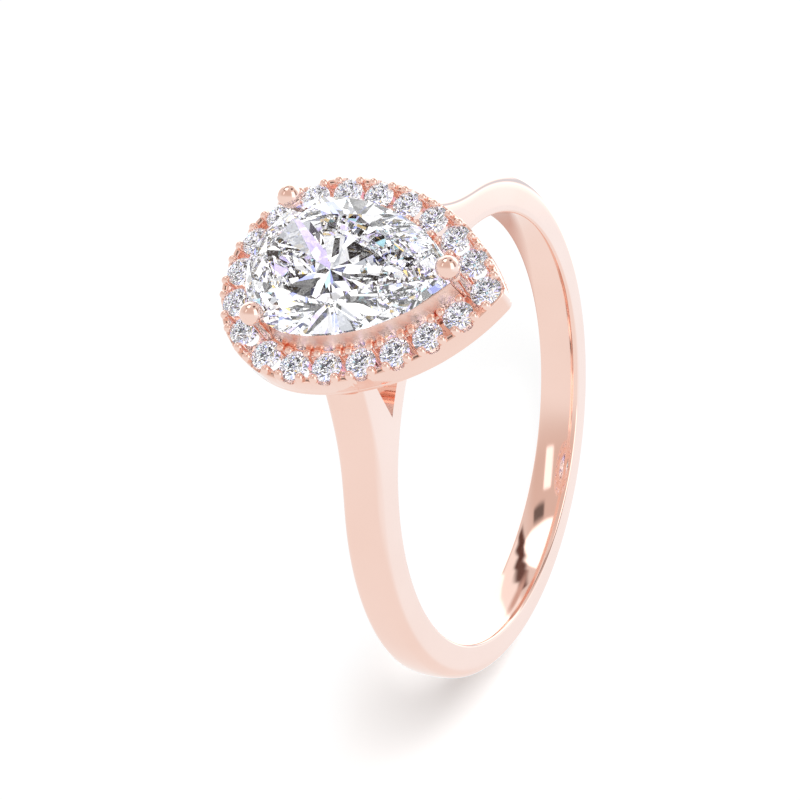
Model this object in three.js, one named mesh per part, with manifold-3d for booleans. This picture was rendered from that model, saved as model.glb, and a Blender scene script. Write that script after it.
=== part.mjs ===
// Pear halo engagement ring with a cathedral shank and ball-ended claws.
// Units are millimetres. +Z runs up through the head, X across the shoulders and Y along the finger,
// with the point of the pear towards -Y. Shapes are drawn about the centre of the finger hole, and the
// last lines lift the whole ring so that the lowest point of the band stands at z = 0.
import * as THREE from 'three';
import { ConvexGeometry } from 'three/addons/geometries/ConvexGeometry.js';
import { mergeVertices } from 'three/addons/utils/BufferGeometryUtils.js';
import Module from 'manifold-3d';

const wasm = await Module();
wasm.setup();

// ---- driving dimensions -------------------------------------------------------------------------
const FIT_GAP = 0.015;              // clearance between pieces that touch on the bench

const FINGER_RADIUS = 8.25;         // 16.5 mm finger hole
const BAND_THICKNESS = 1.515;       // radial thickness halfway up the band
const BAND_THICKNESS_GAIN = 0.215;  // how much thicker it is at the top than halfway
const BAND_HALF_WIDTH = 0.82;       // half the width along the finger, halfway up
const SIDE_LEAN = 0.0048;           // the two flat sides close in by this much per mm of height
const OUTER_CORNER = 0.39;          // radius between the flat side and the outer face
const OUTER_DOME = 0.07;            // crown of the outer face
const COMFORT_CHAMFER = 0.15;       // eased inner edge

const BRIDGE_RADIUS = 9.12;         // outer radius of the band where it passes under the head
const WINDOW_ANGLE = 22.2;          // degrees from the top to the point of the side window
const SHOULDER_START = 45;          // degrees from the top where the shoulders leave the round band
const SHOULDER_RISE = 1.7;          // how far the shoulder stands off the round band at the halo
const SHOULDER_RISE_SPAN = 25.2;    // degrees over which it rises
const SHOULDER_RISE_POWER = 2.7;
const MITRE_END = 40;               // degrees from the top where the shoulder is soldered on
const SHOULDER_FULL_CLIMB = 14;     // degrees from the top past which the shoulders climb no further
const SHOULDER_INNER_TOP = 2.95;    // x of the shoulder's inner face under the halo

const HALO_UNDERSIDE = 11.1;
const HALO_TOP = 11.98;
const HALO_LINE = { roundRadius: 3.4, roundCentre: 1.34, sideRadius: 7.0 }; // line through the melee
const HALO_OUTER = 0.63;            // outer wall, outwards from that line
const HALO_INNER = -0.62;           // inner wall

const MELEE_PER_SIDE = 9;           // between the stone on the round end and the one on the point
const MELEE_RADIUS = 0.545;
const MELEE_GIRDLE_Z = 12.0;
const MELEE_GIRDLE_HALF = 0.02;
const MELEE_CROWN = 0.17;
const MELEE_PAVILION = 0.46;
const MELEE_TABLE_SCALE = 0.56;
const CLAW_GAP_EXTRA = 0.19;        // wider step between the melee on either side of a shoulder claw
const CLAW_GAP_INDEX = 2;           // the wider step follows this stone, counted from the round end

const AZURE_RADIUS = 0.26;          // the hole under each melee stone that lets light in
const NOTCH_HALF_WIDTH = 0.25;
const NOTCH_START = 0.2;            // the notch begins this far outside the halo's line
const NOTCH_BOTTOM = 11.83;
const PRONG_RADIUS = 0.145;
const PRONG_BALL_Z = 12.08;
const PRONG_FOOT_Z = 11.6;
const OUTER_PRONG = { offset: 0.48, spread: 0.3 };
const INNER_PRONG = { offset: -0.48, spread: 0.2 };

const STONE_LINE = { roundRadius: 2.66, roundCentre: 1.3, sideRadius: 6.6 }; // girdle of the centre stone
const STONE_GIRDLE_Z = 12.97;
const STONE_GIRDLE_HALF = 0.06;
const STONE_CROWN = 0.74;
const STONE_PAVILION = 2.25;
const STONE_TABLE_SCALE = 0.58;
const STONE_CULET_Y = 0.9;

const CLAW_BALL_RADIUS = 0.42;
const CLAW_BALL_Z = 13.53;
const CLAW_STEM_RADIUS = 0.26;
const CLAW_ANGLE = 34.2;            // direction of the shoulder claws from the round centre, from +X
const CLAW_RADIAL = 2.775;
const CLAW_FOOT_RADIAL = 2.12;
const TIP_CLAW_BALL_Y = -3.84;
const TIP_CLAW_STEM_Y = -3.96;
const TIP_CLAW_FOOT_Y = -3.3;
const CLAW_BEND_Z = 12.0;           // the stems lean in below this height
const CLAW_FOOT_Z = 9.2;
const CLAW_LEAN = 0.55;             // how far out the stem already is halfway up its leaning part

const SEAT_RAIL = { outer: -0.16, inner: -0.5, bottom: 11.0, top: 12.85 };       // offsets from the girdle
const GALLERY_WALL = { outer: 0.1, inner: -0.145, bottom: 11.3, top: 12.75 };    // part of the halo
const LOWER_RAIL = { outer: -0.72, inner: -1.12, bottom: 8.6, top: 9.65 };

const BEYOND = 20;                  // cutting shapes run this far, well past the ring
const RING_CENTRE_HEIGHT = FINGER_RADIUS + BAND_THICKNESS - BAND_THICKNESS_GAIN;

const rad = THREE.MathUtils.degToRad;

// ---- solids -------------------------------------------------------------------------------------
function toSolid(geometry) {
  const bare = geometry.clone();
  bare.deleteAttribute('normal');
  bare.deleteAttribute('uv');
  const merged = mergeVertices(bare);
  return new wasm.Manifold(new wasm.Mesh({
    numProp: 3,
    vertProperties: new Float32Array(merged.attributes.position.array),
    triVerts: new Uint32Array(merged.index.array),
  }));
}

function toGeometry(solid) {
  const mesh = solid.getMesh();
  const geometry = new THREE.BufferGeometry();
  geometry.setAttribute('position', new THREE.BufferAttribute(mesh.vertProperties, 3));
  geometry.setIndex(new THREE.BufferAttribute(mesh.triVerts, 1));
  return geometry;
}

// A prism standing on the XY plane, from one height to another.
function uprightPrism(outline, bottom, top, hole = null) {
  const shape = new THREE.Shape(outline);
  if (hole) {
    shape.holes.push(new THREE.Path(hole));
  }
  const geometry = new THREE.ExtrudeGeometry(shape, { depth: top - bottom, bevelEnabled: false });
  geometry.translate(0, 0, bottom);
  return toSolid(geometry);
}

// A prism along the finger, drawn by its outline in the XZ plane.
function fingerwisePrism(outline, halfDepth) {
  const geometry = new THREE.ExtrudeGeometry(new THREE.Shape(outline), {
    depth: 2 * halfDepth,
    bevelEnabled: false,
  });
  geometry.rotateX(Math.PI / 2);
  geometry.translate(0, halfDepth, 0);
  return toSolid(geometry);
}

// ---- pear outlines ------------------------------------------------------------------------------
// Half a circle closes the round end, and two larger arcs run from its ends to the point.
function pearOutline(line, offset, steps) {
  const shift = line.sideRadius - line.roundRadius;
  const sideRadius = line.sideRadius + offset;
  const sideAngle = Math.acos(shift / sideRadius);
  const path = new THREE.Path();
  path.absarc(-shift, line.roundCentre, sideRadius, -sideAngle, 0, false);
  path.absarc(0, line.roundCentre, line.roundRadius + offset, 0, Math.PI, false);
  path.absarc(shift, line.roundCentre, sideRadius, Math.PI, Math.PI + sideAngle, false);
  const points = path.getPoints(steps);
  points.pop();
  return points.filter((p, i) => i === 0 || p.distanceTo(points[i - 1]) > 1e-6);
}

// A place on the halo's line: run is measured from the middle of the round end, positive towards +X,
// and offset stands outwards from the line.
function onHaloLine(run, offset) {
  const line = HALO_LINE;
  const quarter = line.roundRadius * Math.PI / 2;
  const side = Math.sign(run) || 1;
  const along = Math.abs(run);
  const round = along < quarter;
  const centreX = round ? 0 : line.roundRadius - line.sideRadius;
  const radius = round ? line.roundRadius : line.sideRadius;
  const angle = round ? Math.PI / 2 - along / radius : -(along - quarter) / radius;
  const outX = Math.cos(angle);
  const outY = Math.sin(angle);
  return {
    x: side * (centreX + (radius + offset) * outX),
    y: line.roundCentre + (radius + offset) * outY,
    outX: side * outX,
    outY,
  };
}

function haloHalfLength() {
  const shift = HALO_LINE.sideRadius - HALO_LINE.roundRadius;
  return HALO_LINE.roundRadius * Math.PI / 2 + HALO_LINE.sideRadius * Math.acos(shift / HALO_LINE.sideRadius);
}

// Runs of the melee down the +X side, from the round end to the point.
function meleeRuns() {
  const steps = MELEE_PER_SIDE + 1;
  const pitch = (haloHalfLength() - CLAW_GAP_EXTRA) / steps;
  return Array.from({ length: steps + 1 }, (_, k) => k * pitch + (k > CLAW_GAP_INDEX ? CLAW_GAP_EXTRA : 0));
}

// ---- band and shoulders -------------------------------------------------------------------------
function outerRadius(degreesFromTop) {
  const a = Math.min(degreesFromTop, 360 - degreesFromTop);
  const round = FINGER_RADIUS + BAND_THICKNESS + BAND_THICKNESS_GAIN * Math.cos(rad(a));
  const climb = Math.max(0, SHOULDER_START - Math.max(a, SHOULDER_FULL_CLIMB)) / SHOULDER_RISE_SPAN;
  return round + SHOULDER_RISE * climb ** SHOULDER_RISE_POWER;
}

// One section of the band as [radius, inset from the flat side, side], round the outline.
function bandSection(outer) {
  const corner = outer - OUTER_DOME - OUTER_CORNER;
  const half = [[FINGER_RADIUS, COMFORT_CHAMFER], [FINGER_RADIUS + COMFORT_CHAMFER, 0], [corner, 0]];
  for (const degrees of [30, 60, 90]) {
    half.push([
      corner + OUTER_CORNER * Math.sin(rad(degrees)),
      OUTER_CORNER * (1 - Math.cos(rad(degrees))),
    ]);
  }
  const left = half.map(([r, inset]) => [r, inset, -1]);
  const right = half.map(([r, inset]) => [r, inset, 1]).reverse();
  return [...left, [outer, BAND_HALF_WIDTH, 0], ...right];
}

function fullBand() {
  const angles = [];
  for (let a = 0; a < 360; a += a < 50 || a >= 310 ? 2.5 : 6.5) {
    angles.push(a);
  }
  const positions = [];
  for (const a of angles) {
    for (const [r, inset, side] of bandSection(outerRadius(a))) {
      const z = r * Math.cos(rad(a));
      const halfWidth = BAND_HALF_WIDTH - SIDE_LEAN * z;
      positions.push(r * Math.sin(rad(a)), side * (halfWidth - inset), z);
    }
  }
  const perSection = positions.length / 3 / angles.length;
  const index = [];
  for (let i = 0; i < angles.length; i++) {
    const next = (i + 1) % angles.length;
    for (let j = 0; j < perSection; j++) {
      const over = (j + 1) % perSection;
      const [a, b] = [i * perSection + j, i * perSection + over];
      const [c, d] = [next * perSection + j, next * perSection + over];
      index.push(a, c, b, b, c, d);
    }
  }
  const geometry = new THREE.BufferGeometry();
  geometry.setAttribute('position', new THREE.Float32BufferAttribute(positions, 3));
  geometry.setIndex(index);
  return toSolid(geometry);
}

// Where the mitre between band and shoulder meets the window, and where it leaves the outer face.
const windowPoint = new THREE.Vector2(
  BRIDGE_RADIUS * Math.sin(rad(WINDOW_ANGLE)),
  BRIDGE_RADIUS * Math.cos(rad(WINDOW_ANGLE)),
);
const mitreEnd = new THREE.Vector2(
  outerRadius(MITRE_END) * Math.sin(rad(MITRE_END)),
  outerRadius(MITRE_END) * Math.cos(rad(MITRE_END)),
);
const mitreBeyond = mitreEnd.clone().lerp(windowPoint, -0.4);

// Everything above the bridge and the two mitres, which the head and shoulders fill.
function headSpace() {
  const outline = [mitreBeyond.clone()];
  for (let k = 0; k <= 12; k++) {
    const a = rad(WINDOW_ANGLE * (1 - k / 6));
    outline.push(new THREE.Vector2(BRIDGE_RADIUS * Math.sin(a), BRIDGE_RADIUS * Math.cos(a)));
  }
  outline.push(new THREE.Vector2(-mitreBeyond.x, mitreBeyond.y));
  outline.push(new THREE.Vector2(-mitreBeyond.x, BEYOND), new THREE.Vector2(mitreBeyond.x, BEYOND));
  return fingerwisePrism(outline, BEYOND);
}

function shoulderSpace(side) {
  const outline = [
    [windowPoint.x, windowPoint.y + FIT_GAP],
    [mitreBeyond.x, mitreBeyond.y + FIT_GAP],
    [mitreBeyond.x, HALO_UNDERSIDE - FIT_GAP],
    [SHOULDER_INNER_TOP, HALO_UNDERSIDE - FIT_GAP],
  ].map(([x, z]) => new THREE.Vector2(side * x, z));
  return fingerwisePrism(outline, BEYOND);
}

// ---- stones -------------------------------------------------------------------------------------
// Both cuts are hulls of their table, girdle and culet; grow makes the room that a seat needs.
function centreStone(grow = 0) {
  const line = pearOutline(STONE_LINE, grow, 6);
  const points = [];
  for (const p of line) {
    points.push(new THREE.Vector3(p.x, p.y, STONE_GIRDLE_Z - STONE_GIRDLE_HALF - grow));
    points.push(new THREE.Vector3(p.x, p.y, STONE_GIRDLE_Z + STONE_GIRDLE_HALF + grow));
  }
  const tableZ = STONE_GIRDLE_Z + STONE_CROWN + grow;
  for (const p of pearOutline(STONE_LINE, grow, 4)) {
    const y = STONE_CULET_Y + (p.y - STONE_CULET_Y) * STONE_TABLE_SCALE;
    points.push(new THREE.Vector3(p.x * STONE_TABLE_SCALE, y, tableZ));
  }
  points.push(new THREE.Vector3(0, STONE_CULET_Y, STONE_GIRDLE_Z - STONE_PAVILION - grow));
  return toSolid(new ConvexGeometry(points));
}

function meleeStone(place, grow = 0) {
  const rings = [
    { radius: MELEE_TABLE_SCALE, z: MELEE_CROWN, count: 8 },
    { radius: 1, z: MELEE_GIRDLE_HALF, count: 10 },
    { radius: 1, z: -MELEE_GIRDLE_HALF, count: 10 },
  ];
  const points = [new THREE.Vector3(place.x, place.y, MELEE_GIRDLE_Z - MELEE_PAVILION - grow)];
  for (const { radius, z, count } of rings) {
    for (let k = 0; k < count; k++) {
      const a = (2 * Math.PI * k) / count;
      const r = (MELEE_RADIUS + grow) * radius;
      const height = MELEE_GIRDLE_Z + z + Math.sign(z) * grow;
      points.push(new THREE.Vector3(place.x + r * Math.cos(a), place.y + r * Math.sin(a), height));
    }
  }
  return toSolid(new ConvexGeometry(points));
}

// ---- claws --------------------------------------------------------------------------------------
// Each claw is a wire with a ball on its end: grow fattens it, to cut the room that it passes through.
function clawPlaces() {
  const reach = (radial, side) => new THREE.Vector2(
    side * radial * Math.cos(rad(CLAW_ANGLE)),
    STONE_LINE.roundCentre + radial * Math.sin(rad(CLAW_ANGLE)),
  );
  const shoulderClaw = (name, side) => ({
    name,
    ball: reach(CLAW_RADIAL, side),
    stem: reach(CLAW_RADIAL, side),
    foot: reach(CLAW_FOOT_RADIAL, side),
  });
  return [
    shoulderClaw('claw_left', -1),
    shoulderClaw('claw_right', 1),
    {
      name: 'claw_tip',
      ball: new THREE.Vector2(0, TIP_CLAW_BALL_Y),
      stem: new THREE.Vector2(0, TIP_CLAW_STEM_Y),
      foot: new THREE.Vector2(0, TIP_CLAW_FOOT_Y),
    },
  ];
}

function clawSolid(claw, grow = 0) {
  const at = (p, z) => new THREE.Vector3(p.x, p.y, z);
  const path = new THREE.CatmullRomCurve3([
    at(claw.foot, CLAW_FOOT_Z - grow),
    at(claw.foot.clone().lerp(claw.stem, CLAW_LEAN), (CLAW_FOOT_Z + CLAW_BEND_Z) / 2),
    at(claw.stem, CLAW_BEND_Z),
    at(claw.stem.clone().lerp(claw.ball, 0.5), (CLAW_BEND_Z + CLAW_BALL_Z) / 2),
    at(claw.ball, CLAW_BALL_Z),
  ]);
  const section = new THREE.Shape();
  section.absarc(0, 0, CLAW_STEM_RADIUS + grow, 0, 2 * Math.PI, false);
  const wire = new THREE.ExtrudeGeometry(section, { steps: 9, curveSegments: 4, extrudePath: path });
  const ball = new THREE.SphereGeometry(CLAW_BALL_RADIUS + grow, 10, 6);
  ball.rotateX(Math.PI / 2);
  ball.translate(claw.ball.x, claw.ball.y, CLAW_BALL_Z);
  return toSolid(wire).add(toSolid(ball));
}

// ---- halo ---------------------------------------------------------------------------------------
// A U-shaped cut through the outer wall under one stone.
function haloNotch(run) {
  const middle = NOTCH_BOTTOM + NOTCH_HALF_WIDTH;
  const shape = new THREE.Shape();
  shape.moveTo(-NOTCH_HALF_WIDTH, BEYOND);
  shape.lineTo(-NOTCH_HALF_WIDTH, middle);
  shape.absarc(0, middle, NOTCH_HALF_WIDTH, Math.PI, 2 * Math.PI, false);
  shape.lineTo(NOTCH_HALF_WIDTH, BEYOND);
  const depth = 2 * (HALO_OUTER - NOTCH_START);
  const geometry = new THREE.ExtrudeGeometry(shape, { depth, bevelEnabled: false, curveSegments: 4 });
  const place = onHaloLine(run, NOTCH_START);
  geometry.applyMatrix4(new THREE.Matrix4().makeBasis(
    new THREE.Vector3(-place.outY, place.outX, 0),
    new THREE.Vector3(0, 0, 1),
    new THREE.Vector3(place.outX, place.outY, 0),
  ));
  geometry.translate(place.x, place.y, 0);
  return toSolid(geometry);
}

// A bead prong: a short post with a round top.
function beadProng(place) {
  const half = PRONG_RADIUS * Math.SQRT1_2;
  const profile = [
    [0, PRONG_FOOT_Z],
    [PRONG_RADIUS, PRONG_FOOT_Z],
    [PRONG_RADIUS, PRONG_BALL_Z],
    [half, PRONG_BALL_Z + half],
    [0, PRONG_BALL_Z + PRONG_RADIUS],
  ];
  const geometry = new THREE.LatheGeometry(profile.map(([r, z]) => new THREE.Vector2(r, z)), 6);
  geometry.rotateX(Math.PI / 2);
  geometry.translate(place.x, place.y, 0);
  return toSolid(geometry);
}

function haloProngs(runs, claws) {
  const prongs = [];
  const clearOfClaws = (p) => claws.every((c) => c.stem.distanceTo(p) > CLAW_STEM_RADIUS + PRONG_RADIUS);
  for (const side of [-1, 1]) {
    for (let k = 0; k + 1 < runs.length; k++) {
      const middle = (runs[k] + runs[k + 1]) / 2;
      for (const { offset, spread } of [OUTER_PRONG, INNER_PRONG]) {
        for (const step of [-spread, spread]) {
          const place = onHaloLine(side * (middle + step), offset);
          if (clearOfClaws(place)) {
            prongs.push(beadProng(place));
          }
        }
      }
    }
  }
  return prongs;
}

function joinAll(solids) {
  return solids.reduce((whole, solid) => whole.add(solid));
}

function azureHole(place) {
  const hole = new THREE.CylinderGeometry(AZURE_RADIUS, AZURE_RADIUS, 2 * (HALO_TOP - HALO_UNDERSIDE), 8);
  hole.rotateX(Math.PI / 2);
  hole.translate(place.x, place.y, HALO_UNDERSIDE);
  return toSolid(hole);
}

function haloFrame(runs, meleePlaces, claws) {
  let frame = uprightPrism(
    pearOutline(HALO_LINE, HALO_OUTER, 9),
    HALO_UNDERSIDE,
    HALO_TOP,
    pearOutline(HALO_LINE, HALO_INNER, 7),
  );
  frame = frame.add(pearRail(GALLERY_WALL));
  const notches = runs.flatMap((run, k) => (k > 0 && k < runs.length - 1 ? [run, -run] : [run]));
  frame = frame.subtract(joinAll(notches.map(haloNotch)));
  frame = frame.subtract(joinAll(meleePlaces.map(azureHole)));
  frame = frame.add(joinAll(haloProngs(runs, claws)));
  frame = frame.subtract(joinAll(meleePlaces.map((place) => meleeStone(place, FIT_GAP))));
  return frame.subtract(joinAll(claws.map((claw) => clawSolid(claw, FIT_GAP))));
}

// ---- rails --------------------------------------------------------------------------------------
function pearRail(rail) {
  return uprightPrism(
    pearOutline(STONE_LINE, rail.outer, 6),
    rail.bottom,
    rail.top,
    pearOutline(STONE_LINE, rail.inner, 6),
  );
}

// The saddle that lets the lower rail sit down over the bridge.
function bridgeSaddle() {
  const radius = BRIDGE_RADIUS + FIT_GAP;
  return toSolid(new THREE.CylinderGeometry(radius, radius, BEYOND, 90));
}

// ---- assembly -----------------------------------------------------------------------------------
const ring = new THREE.Group();
ring.position.z = RING_CENTRE_HEIGHT;

function addPiece(name, solid, material) {
  const mesh = new THREE.Mesh(toGeometry(solid), material);
  mesh.name = name;
  ring.add(mesh);
}

const roseGold = () => new THREE.MeshStandardMaterial({ color: 0xf0c4b4, metalness: 1, roughness: 0.08 });
const diamond = () => new THREE.MeshStandardMaterial({ color: 0xf2f5fa, metalness: 0, roughness: 0 });

const band = fullBand();
addPiece('shank', band.subtract(headSpace()), roseGold());
addPiece('shoulder_left', band.intersect(shoulderSpace(-1)), roseGold());
addPiece('shoulder_right', band.intersect(shoulderSpace(1)), roseGold());

const runs = meleeRuns();
const rightPlaces = runs.map((run) => onHaloLine(run, 0));
const leftPlaces = runs.slice(1, -1).reverse().map((run) => onHaloLine(-run, 0));
const meleePlaces = [...rightPlaces, ...leftPlaces];
const claws = clawPlaces();
const clawRoom = joinAll(claws.map((claw) => clawSolid(claw, FIT_GAP)));
const stoneRoom = centreStone(FIT_GAP);
const meleeRoom = joinAll(meleePlaces.map((place) => meleeStone(place, FIT_GAP)));

for (const claw of claws) {
  addPiece(claw.name, clawSolid(claw).subtract(stoneRoom).subtract(meleeRoom), roseGold());
}
addPiece('seat_rail', pearRail(SEAT_RAIL).subtract(stoneRoom).subtract(clawRoom), roseGold());
addPiece('lower_rail', pearRail(LOWER_RAIL).subtract(bridgeSaddle()).subtract(clawRoom), roseGold());
addPiece('halo_frame', haloFrame(runs, meleePlaces, claws), roseGold());
addPiece('centre_diamond', centreStone(), diamond());
meleePlaces.forEach((place, k) => {
  addPiece(`melee_diamond_${String(k + 1).padStart(2, '0')}`, meleeStone(place), diamond());
});

export default ring;
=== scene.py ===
"""Looks of the pear halo engagement ring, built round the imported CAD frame.

Shapes are drawn in millimetres about the centre of the finger hole, with +Z up through the head, X across
the shoulders and the point of the pear towards -Y, and put() brings them into the row frame in metres.
"""

import math

import bmesh
import bpy
import numpy as np
from mathutils import Matrix, Vector


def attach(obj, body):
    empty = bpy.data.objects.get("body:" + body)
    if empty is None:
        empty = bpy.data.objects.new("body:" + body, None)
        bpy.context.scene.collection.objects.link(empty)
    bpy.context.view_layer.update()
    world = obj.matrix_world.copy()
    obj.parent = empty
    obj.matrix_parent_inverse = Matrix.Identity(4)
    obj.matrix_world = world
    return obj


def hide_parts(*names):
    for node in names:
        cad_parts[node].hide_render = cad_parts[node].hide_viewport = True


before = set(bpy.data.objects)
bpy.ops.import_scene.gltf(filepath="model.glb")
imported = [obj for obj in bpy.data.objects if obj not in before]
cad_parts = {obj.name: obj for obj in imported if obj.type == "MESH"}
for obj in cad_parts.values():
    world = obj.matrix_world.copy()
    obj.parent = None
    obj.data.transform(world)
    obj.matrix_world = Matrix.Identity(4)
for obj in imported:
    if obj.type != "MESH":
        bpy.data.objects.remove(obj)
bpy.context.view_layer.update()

MM = 0.001

# ---- driving dimensions, in millimetres and degrees ---------------------------------------------
# The lines, heights and radii that place the pieces are the CAD part's. The crowned faces, the hollow
# halo, the leaning gallery wall, the beads and the full stone cuts are finer here than in the CAD.
FINGER_RADIUS = 8.25
BAND_THICKNESS = 1.515
BAND_THICKNESS_GAIN = 0.215
BAND_HALF_WIDTH = 0.82
SIDE_LEAN = 0.0048
OUTER_CORNER = 0.42
OUTER_CROWN_RADIUS = 2.6
INNER_CORNER = 0.12
INNER_CROWN_RADIUS = 3.4

BRIDGE_RADIUS = 9.12
WINDOW_ANGLE = 22.2
SHOULDER_START = 45.0
SHOULDER_RISE = 1.7
SHOULDER_RISE_SPAN = 25.2
SHOULDER_RISE_POWER = 2.7
SHOULDER_FULL_CLIMB = 14.0
SHOULDER_INNER_TOP = 2.95

HALO_UNDERSIDE = 11.1
HALO_FLOOR = 11.35
LIP_TOP = 12.02
LIP_WIDTH = 0.25
LIP_SINK = 0.1
LIP_EDGE = 0.06
FLOOR_EDGE = 0.05
GALLERY_WALL = {"inner": -0.145, "outer": 0.18, "bottom": 11.3, "foot": 11.95, "top": 12.78}
HALO_LINE = {"round_radius": 3.4, "round_centre": 1.34, "side_radius": 7.0}
HALO_OUTER = 0.63
HALO_INNER = -0.62
HALO_TIP_RADIUS = 0.42

MELEE_PER_SIDE = 9
MELEE_RADIUS = 0.545
MELEE_GIRDLE_Z = 12.0
CLAW_GAP_EXTRA = 0.19
CLAW_GAP_INDEX = 2

AZURE_RADIUS = 0.28
NOTCH_HALF_WIDTH = 0.24
NOTCH_BOTTOM = 11.83
OUTER_PRONG = {"offset": 0.46, "spread": 0.25, "radius": 0.17}
INNER_PRONG = {"offset": -0.46, "spread": 0.21, "radius": 0.16}
PRONG_BALL_Z = 12.08
PRONG_FOOT_Z = 11.25

STONE_LINE = {"round_radius": 2.66, "round_centre": 1.3, "side_radius": 6.6}
STONE_GIRDLE_Z = 12.97
STONE_CULET_Y = 0.9
PEAR_CUT = {
    "girdle_half": 0.07,
    "crown": 0.78,
    "pavilion": 2.3,
    "crown_angle": math.radians(34),
    "star_angle": math.radians(19),
    "lower_share": 0.78,
}
ROUND_CUT = {
    "girdle_half": 0.012,
    "crown": 0.19,
    "pavilion": 0.46,
    "crown_angle": math.radians(34.5),
    "star_angle": math.radians(20),
    "lower_share": 0.78,
}

CLAW_BALL_RADIUS = 0.42
CLAW_BALL_Z = 13.53
CLAW_STEM_RADIUS = 0.26
CLAW_ANGLE = 34.2
CLAW_RADIAL = 2.775
CLAW_FOOT_RADIAL = 2.12
TIP_CLAW_BALL_Y = -3.84
TIP_CLAW_STEM_Y = -3.96
TIP_CLAW_FOOT_Y = -3.3
CLAW_BEND_Z = 12.0
CLAW_FOOT_Z = 9.2

SEAT_RAIL = {"outer": -0.16, "inner": -0.5, "bottom": 11.0, "top": 12.83}
LOWER_RAIL = {"outer": -0.72, "inner": -1.12, "bottom": 8.96, "top": 9.65}
RAIL_TIP_RADIUS = 0.12
FIT_GAP = 0.012

RING_CENTRE_HEIGHT = FINGER_RADIUS + BAND_THICKNESS - BAND_THICKNESS_GAIN


# ---- mesh helpers -------------------------------------------------------------------------------
def put(points):
    """Millimetres about the finger hole's centre to metres in the row frame."""
    return (np.asarray(points, float) + (0, 0, RING_CENTRE_HEIGHT)) * MM


def new_object(name, points, faces):
    mesh = bpy.data.meshes.new(name)
    mesh.from_pydata([tuple(p) for p in put(points)], [], [tuple(int(i) for i in f) for f in faces])
    mesh.validate()
    obj = bpy.data.objects.new(name, mesh)
    bpy.context.scene.collection.objects.link(obj)
    return obj


def outwards(obj):
    """Turns every face of a closed mesh to the outside."""
    work = bmesh.new()
    work.from_mesh(obj.data)
    bmesh.ops.remove_doubles(work, verts=work.verts, dist=1e-8)
    bmesh.ops.recalc_face_normals(work, faces=work.faces)
    if work.calc_volume(signed=True) < 0:
        bmesh.ops.reverse_faces(work, faces=work.faces)
    work.to_mesh(obj.data)
    work.free()
    return obj


def loft(name, loops, closed=False):
    """A skin over loops that hold the same number of points, with flat ends unless it closes on itself."""
    count, per = len(loops), len(loops[0])
    points = np.concatenate([np.asarray(loop, float) for loop in loops])
    faces = []
    for i in range(count if closed else count - 1):
        here, there = i * per, (i + 1) % count * per
        for j in range(per):
            k = (j + 1) % per
            faces.append((here + j, there + j, there + k, here + k))
    if not closed:
        faces.append(tuple(range(per)))
        faces.append(tuple(range((count - 1) * per, count * per))[::-1])
    return outwards(new_object(name, points, faces))


def turned(name, profile, place, segments=24):
    """A solid of revolution about an upright axis at place; profile is (radius, z) from pole to pole."""
    angles = np.linspace(0, 2 * math.pi, segments, endpoint=False)
    circle = np.stack([np.cos(angles), np.sin(angles)], 1)
    points = [(place[0], place[1], profile[0][1])]
    for radius, z in profile[1:-1]:
        points += [(place[0] + radius * c, place[1] + radius * s, z) for c, s in circle]
    points.append((place[0], place[1], profile[-1][1]))
    faces = []
    rows = len(profile) - 2
    for j in range(segments):
        k = (j + 1) % segments
        faces.append((0, 1 + j, 1 + k))
        for i in range(rows - 1):
            low, high = 1 + i * segments, 1 + (i + 1) * segments
            faces.append((low + j, high + j, high + k, low + k))
        last = 1 + (rows - 1) * segments
        faces.append((last + j, len(points) - 1, last + k))
    return outwards(new_object(name, points, faces))


def boolean(obj, operation, tools):
    """Cuts or joins obj with closed tools, which are used up."""
    group = bpy.data.collections.new("tools")
    for tool in tools:
        for owner in list(tool.users_collection):
            owner.objects.unlink(tool)
        group.objects.link(tool)
    bpy.context.scene.collection.children.link(group)
    modifier = obj.modifiers.new("cut", "BOOLEAN")
    modifier.operation = operation
    modifier.operand_type = "COLLECTION"
    modifier.collection = group
    modifier.solver = "MANIFOLD"
    apply_modifiers(obj)
    for tool in tools:
        bpy.data.objects.remove(tool)
    bpy.data.collections.remove(group)


def apply_modifiers(obj):
    bpy.context.view_layer.update()
    graph = bpy.context.evaluated_depsgraph_get()
    mesh = bpy.data.meshes.new_from_object(obj.evaluated_get(graph), depsgraph=graph)
    obj.modifiers.clear()
    obj.data = mesh


def smooth_by_angle(obj, degrees):
    obj.data.shade_smooth()
    obj.data.set_sharp_from_angle(angle=math.radians(degrees))


def soften_edges(obj, width, degrees=35, segments=3):
    """A narrow rounding along the hard edges, as polishing leaves it."""
    modifier = obj.modifiers.new("soften", "BEVEL")
    modifier.width = width * MM
    modifier.segments = segments
    modifier.limit_method = "ANGLE"
    modifier.angle_limit = math.radians(degrees)
    modifier.harden_normals = True
    modifier.use_clamp_overlap = True


def finish_piece(obj, name, material, slot, nodes):
    obj.name = obj.data.name = name
    obj.data.materials.clear()
    obj.data.materials.append(material)
    obj.visible_transmission = slot == "diamond"
    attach(obj, "root")
    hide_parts(*nodes)
    return obj


# ---- pear outlines ------------------------------------------------------------------------------
def arc(cx, cy, radius, start, end, count):
    """Points on an arc without its last one, with angles in radians."""
    angles = np.linspace(start, end, count, endpoint=False)
    return np.stack([cx + radius * np.cos(angles), cy + radius * np.sin(angles)], 1)


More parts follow.
